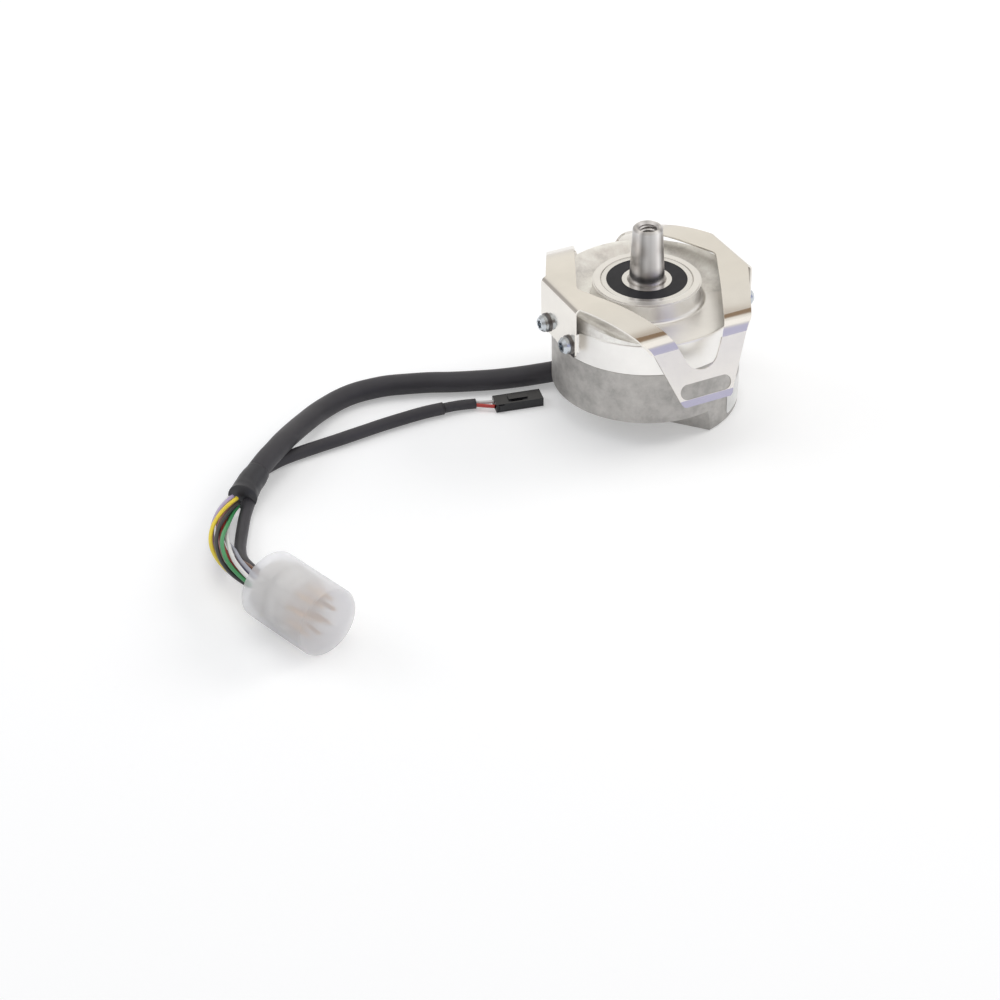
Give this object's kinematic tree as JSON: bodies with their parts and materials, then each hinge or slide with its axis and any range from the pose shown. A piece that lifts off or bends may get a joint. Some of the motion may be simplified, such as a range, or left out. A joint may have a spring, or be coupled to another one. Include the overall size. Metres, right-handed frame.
{
  "type": "rotary encoder",
  "caption": "Round shaft encoder with a taper shaft, a folded sheet-metal coupling and a sheathed cable that ends in loose leads, a small plug and a capped contact insert.",
  "frame": {"origin": "on the shaft axis at the underside of the foot", "axes": "+Z along the shaft towards its tip; the two ears of the coupling lie along Y and its two folded tabs along X; the cable runs off towards -X"},
  "size_m": [0.1715, 0.1079, 0.0539],
  "materials": {
    "machined_alloy": "fine turned, bright",
    "cast_alloy": "matt, as cast",
    "sheet_steel": "rolled spring sheet, reflective",
    "ground_steel": "ground, polished",
    "bearing_steel": "ground and lapped",
    "dark_steel": "oiled spring steel",
    "zinc": "zinc plated",
    "brass": "bright",
    "rubber": "matt",
    "cable_sheath": "satin sheath",
    "shrink_sleeve": "satin, slightly creased",
    "wire_cover": "coloured insulation",
    "brown_wire": "coloured insulation",
    "black_plastic": "moulded",
    "white_plastic": "moulded",
    "milky_plastic": "milky, see-through",
    "disc_glass": "polished, with a chrome track",
    "lens_glass": "polished",
    "green_board": "solder mask"
  },
  "bodies": {
    "stator": {"flange": "machined_alloy", "rear_cover": "cast_alloy", "cover_gasket": "rubber", "cover_screws": "zinc", "stator_coupling": "sheet_steel", "coupling_washers": "dark_steel", "coupling_screws": "zinc", "front_bearing_outer_ring": "bearing_steel", "front_bearing_seals": "rubber", "rear_bearing_outer_ring": "bearing_steel", "preload_spring": "dark_steel", "lamp_holder": "black_plastic", "lamp_lens": "lens_glass", "scanning_plate": "disc_glass", "detector": "black_plastic", "circuit_board": "green_board", "board_parts": "black_plastic", "board_socket": "white_plastic", "board_pillars": "zinc", "board_screws": "zinc", "cable_clamp": "zinc", "cable_grommet": "rubber", "main_cable": "cable_sheath", "cable_shrink": "shrink_sleeve", "wire_bundle": "wire_cover", "sensor_tail": "cable_sheath", "sensor_lead": "cable_sheath", "lead_sleeve": "cable_sheath", "lead_wires": "brown_wire", "plug_housing": "black_plastic", "plug_contacts": "brass", "contact_insert": "white_plastic", "insert_contacts": "brass"},
    "rotor": {"shaft": "ground_steel", "shaft_clip": "dark_steel", "front_bearing_inner_ring": "bearing_steel", "rear_bearing_inner_ring": "bearing_steel", "disc_hub": "ground_steel", "code_disc": "disc_glass", "disc_clamp": "brass"},
    "front_ball_set": {"front_bearing_balls": "bearing_steel", "front_bearing_cage": "brass"},
    "rear_ball_set": {"rear_bearing_balls": "bearing_steel", "rear_bearing_cage": "brass"},
    "cap": {"protective_cap": "milky_plastic"}
  },
  "joints": [
    {"name": "shaft_spin", "type": "hinge", "parent": "stator", "child": "rotor", "pos_m": [0, 0, 0.0336], "axis": [0, 0, 1], "continuous": true},
    {"name": "front_ball_travel", "type": "hinge", "parent": "stator", "child": "front_ball_set", "pos_m": [0, 0, 0.0336], "axis": [0, 0, 1], "continuous": true},
    {"name": "rear_ball_travel", "type": "hinge", "parent": "stator", "child": "rear_ball_set", "pos_m": [0, 0, 0.0221], "axis": [0, 0, 1], "continuous": true},
    {"name": "cap_pull", "type": "slide", "parent": "stator", "child": "cap", "axis": [0.3156, -0.9489, 0], "range_m": [0, 0.026]}
  ],
  "couplings": [
    {"joint": "front_ball_travel", "follows": "shaft_spin", "ratio": 0.3689},
    {"joint": "rear_ball_travel", "follows": "shaft_spin", "ratio": 0.42}
  ]
}
